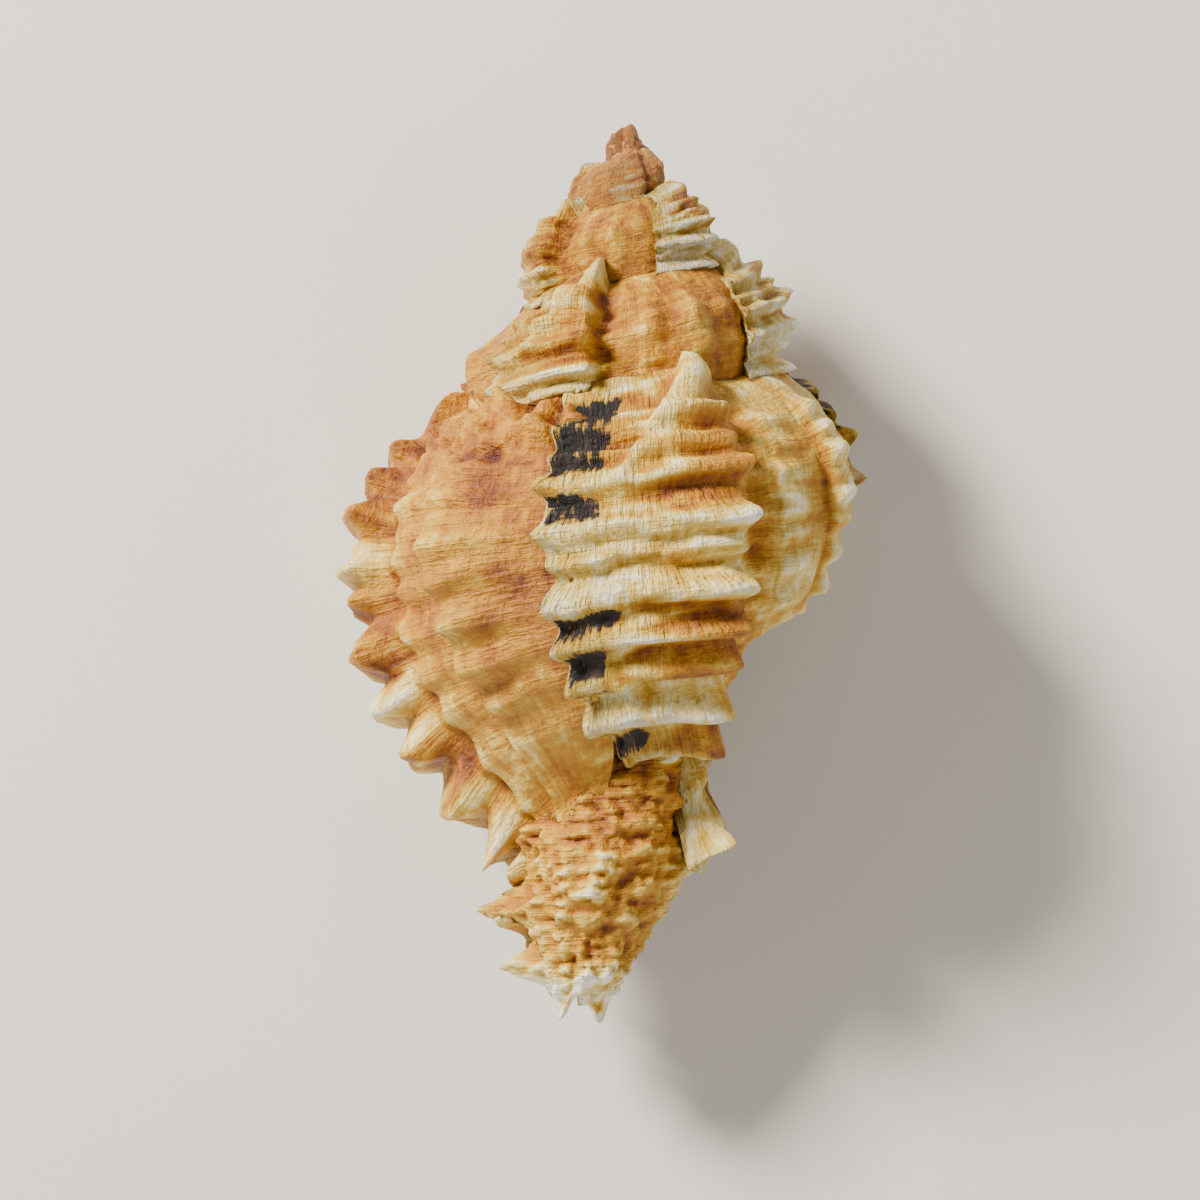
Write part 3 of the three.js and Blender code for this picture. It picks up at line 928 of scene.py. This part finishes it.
def weighted(base, parts):
    """Adds each part to base, times its weight, with the noise centred on zero."""
    for output, weight in parts:
        base = add_node(tree, "ShaderNodeMath", {"operation": "MULTIPLY_ADD", 1: weight},
                        {0: output, 2: base}).outputs[0]
    centre = sum(weight for output, weight in parts) / 2
    return add_node(tree, "ShaderNodeMath", {"operation": "SUBTRACT", 1: centre},
                    {0: base}).outputs[0]


print("a degree behind the lip is", MM_PER_DEGREE, "mm on the last stage")

# %% Colour
# The tone, broken up, picks the colour of the lime; the oldest whorls are worn to a rosy brown.
shade = weighted(tone, [(mottle, 0.9), (cord_streaks, 0.8), (growth_streaks, 0.55), (speckle, 0.45)])
shade_fraction = add_node(tree, "ShaderNodeMapRange", {"From Min": -0.1, "From Max": 1.25},
                          {0: shade}).outputs[0]
lime_colour = stops(add_node(tree, "ShaderNodeValToRGB", {}, {0: shade_fraction}), TONE_STOPS)
old_age = {"From Min": FIRST_WHORLS - 1.0, "From Max": FIRST_WHORLS + 3.0, "To Max": 0.6}
rosy = add_node(tree, "ShaderNodeMapRange", old_age, {0: stage}).outputs[0]
lime_colour = add_node(tree, "ShaderNodeMix", {"data_type": "RGBA", 7: linear(ROSY_TIP)},
                       {0: rosy, 6: lime_colour}).outputs[2]

# The black patches have ragged edges, and the glaze of the mouth lies over everything.
deeper_black = add_node(tree, "ShaderNodeMath", {"operation": "MULTIPLY_ADD", 1: 1.2, 2: -0.3},
                        {0: black}).outputs[0]
patchy = weighted(deeper_black, [(cord_streaks, 1.1), (speckle, 0.9), (lines, 1.2)])
patches = add_node(tree, "ShaderNodeMapRange", {"From Min": 0.28, "From Max": 0.55},
                   {0: patchy}).outputs[0]
soot = stops(add_node(tree, "ShaderNodeValToRGB", {}, {0: mottle}), SOOT_STOPS)
coat = add_node(tree, "ShaderNodeMix", {"data_type": "RGBA"},
                {0: patches, 6: lime_colour, 7: soot}).outputs[2]
glaze = add_node(tree, "ShaderNodeMix", {"data_type": "RGBA", 7: linear(GLAZE)},
                 {0: hollow_share, 6: coat}).outputs[2]
tree.links.new(glaze, principled.inputs["Base Color"])
print("the colour takes", len(tree.nodes), "nodes")

# %% Gloss and grain
gloss = add_node(tree, "ShaderNodeMapRange", {"To Min": MATT, "To Max": GLAZED_ROUGHNESS},
                 {0: hollow_share}).outputs[0]
tree.links.new(gloss, principled.inputs["Roughness"])

# Growth lines and spiral threads stand under a millimetre apart, over a fine weathered grain.
threads = stretched((1, 0.07, 1), 0.34, 3)
toward_lip = {"From Min": 46.0, "From Max": 10.0, "To Min": 0.06, "To Max": 0.8}
crumpled = add_node(tree, "ShaderNodeMapRange", toward_lip, {0: behind}).outputs[0]
line_height = add_node(tree, "ShaderNodeMath", {"operation": "MULTIPLY"},
                       {0: lines, 1: crumpled}).outputs[0]
texture = weighted(line_height, [(threads, 0.26), (speckle, 0.34), (cord_streaks, 0.25)])
outside = add_node(tree, "ShaderNodeMath", {"operation": "SUBTRACT", 0: 1.0},
                   {1: hollow_share}).outputs[0]
bump_height = add_node(tree, "ShaderNodeMath", {"operation": "MULTIPLY"},
                       {0: texture, 1: outside}).outputs[0]
bump = add_node(tree, "ShaderNodeBump", {"Strength": 1.0, "Distance": BUMP_DEPTH},
                {"Height": bump_height})
tree.links.new(bump.outputs["Normal"], principled.inputs["Normal"])
shell_mesh.materials.clear()
shell_mesh.materials.append(lime)
print("the lime has", len(tree.nodes), "nodes")

# %% [markdown]
# ## Its place in the frame
# The shell is one body, so it rides on the root and takes the place of the plain solid.

# %% Ride and replace
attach(shell, "root")
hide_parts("shell")
print(shell.name, "takes the place of the solid")

# %% [markdown]
# ## The table
# A plain pale floor, matt, so that it shows the shell's shadow and no reflection.

# %% Floor
FLOOR_HALF = 1.5
FLOOR_ROUGHNESS = 0.9
floor_tile = bmesh.new()
bmesh.ops.create_grid(floor_tile, x_segments=1, y_segments=1, size=FLOOR_HALF)
floor_mesh = bpy.data.meshes.new("floor")
floor_tile.to_mesh(floor_mesh)
floor_tile.free()
floor = bpy.data.objects.new("floor", floor_mesh)
bpy.context.collection.objects.link(floor)
paint = bpy.data.materials.new("matt_floor_paint")
paint.use_nodes = True
matt_paint = paint.node_tree.nodes["Principled BSDF"]
matt_paint.inputs["Base Color"].default_value = linear("#D8D6D0")
matt_paint.inputs["Roughness"].default_value = FLOOR_ROUGHNESS
floor_mesh.materials.append(paint)
print("the floor is", 2 * FLOOR_HALF, "m wide")

# %% [markdown]
# ## The light
# One softbox at the upper left is the key, small enough to draw every rib. Two wide, weak ones
# and a faint grey world fill the shadows, so that the dark grooves keep their colour.

# %% Lights
def softbox(name, place, target, size, watts, colour):
    light = bpy.data.lights.new(name, "AREA")
    light.size = size
    light.energy = watts
    light.color = linear(colour)[:3]
    box = bpy.data.objects.new(name, light)
    box.location = place
    box.rotation_euler = (Vector(target) - Vector(place)).to_track_quat("-Z", "Y").to_euler()
    bpy.context.collection.objects.link(box)
    return box


middle = Vector([(a + b) / 2 for a, b in zip(low, high)])
softbox("key", (-0.42, 0.42, 0.5), middle, 0.2, 18.0, "#FFF6EA")
softbox("fill", (0.5, -0.2, 0.4), middle, 0.5, 1.7, "#FFF8F0")
softbox("low_fill", (-0.1, -0.6, 0.25), middle, 0.5, 1.9, "#FFF8F0")
world = bpy.data.worlds.new("studio")
world.use_nodes = True
sky = world.node_tree.nodes["Background"]
sky.inputs["Color"].default_value = linear("#F3F0EA")
sky.inputs["Strength"].default_value = 0.24
bpy.context.scene.world = world
print("lit by", len(bpy.data.lights), "softboxes")

# %% [markdown]
# ## The camera
# It looks straight down on the shell's own axis, which lies a few degrees off level, from far
# enough away that the spire and the canal are drawn at one scale.

# %% Camera
CAMERA_ROLL = math.radians(2.7)
CAMERA_AWAY = 700.0   # millimetres above the axis
FRAME_WIDTH = 120.0   # what the view is wide at that distance
AIM = Vector((-4.7, -47.1, 6.0))
SENSOR_WIDTH = 36.0

camera_data = bpy.data.cameras.new("camera")
camera_data.sensor_width = SENSOR_WIDTH
camera_data.lens = SENSOR_WIDTH * CAMERA_AWAY / FRAME_WIDTH
camera = bpy.data.objects.new("camera", camera_data)
bpy.context.collection.objects.link(camera)
camera_turn = lay_down.to_quaternion().to_matrix().to_4x4() @ Matrix.Rotation(-CAMERA_ROLL, 4, "Z")
camera_place = lay_down @ (AIM + Vector((0, 0, CAMERA_AWAY)))
camera.matrix_world = Matrix.Translation(camera_place) @ camera_turn
bpy.context.scene.camera = camera
print("the lens is", round(camera_data.lens), "mm")
